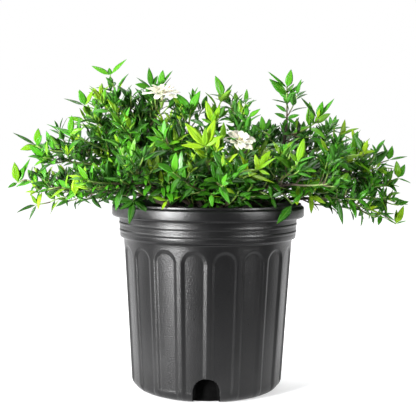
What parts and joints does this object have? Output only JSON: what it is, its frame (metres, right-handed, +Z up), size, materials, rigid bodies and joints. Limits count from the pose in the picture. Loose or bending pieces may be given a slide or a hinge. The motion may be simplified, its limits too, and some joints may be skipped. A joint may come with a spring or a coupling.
{
  "type": "potted gardenia",
  "caption": "Low spreading flowering shrub with narrow pointed leaves and white blooms, in a round fluted nursery pot with a rolled lip and drain notches.",
  "frame": {"origin": "centre of the flat face that the pot stands on", "axes": "+Z up along the pot's axis, -Y towards the viewer of the reference view, +X to that viewer's right along the plant's widest spread"},
  "size_m": [0.5834, 0.4609, 0.4688],
  "materials": {
    "pot_plastic": "satin",
    "potting_mix": "matte",
    "bark": "matte",
    "leaf": "satin",
    "young_leaf": "satin",
    "petal": "satin"
  },
  "bodies": {
    "root": {"pot": "pot_plastic", "soil": "potting_mix", "woody_stem_left": "bark", "woody_stem_right": "bark", "woody_stem_front": "bark", "woody_stem_back": "bark", "flower_1": "petal", "flower_2": "petal", "shoot_left_01": "leaf", "shoot_left_02": "leaf", "shoot_left_03": "leaf", "shoot_left_04": "leaf", "shoot_left_05": "leaf", "shoot_left_06": "young_leaf", "shoot_left_07": "leaf", "shoot_left_08": "young_leaf", "shoot_left_09": "leaf", "shoot_left_10": "leaf", "shoot_left_11": "leaf", "shoot_left_12": "leaf", "shoot_left_13": "leaf", "shoot_left_14": "leaf", "shoot_right_01": "leaf", "shoot_right_02": "young_leaf", "shoot_right_03": "leaf", "shoot_right_04": "young_leaf", "shoot_right_05": "leaf", "shoot_right_06": "young_leaf", "shoot_right_07": "leaf", "shoot_right_08": "leaf", "shoot_right_09": "leaf", "shoot_right_10": "leaf", "shoot_right_11": "leaf", "shoot_right_12": "leaf", "shoot_right_13": "leaf", "shoot_front_01": "leaf", "shoot_front_02": "young_leaf", "shoot_front_03": "leaf", "shoot_front_04": "leaf", "shoot_front_05": "young_leaf", "shoot_front_06": "young_leaf", "shoot_front_07": "leaf", "shoot_front_08": "leaf", "shoot_front_09": "leaf", "shoot_front_10": "leaf", "shoot_front_11": "leaf", "shoot_front_12": "leaf", "shoot_back_01": "leaf", "shoot_back_02": "leaf", "shoot_back_03": "young_leaf", "shoot_back_04": "leaf", "shoot_back_05": "leaf", "shoot_back_06": "leaf", "shoot_back_07": "young_leaf", "shoot_back_08": "leaf", "shoot_back_09": "young_leaf", "shoot_back_10": "leaf", "flower_shoot_1": "leaf", "flower_shoot_2": "leaf"}
  },
  "joints": []
}
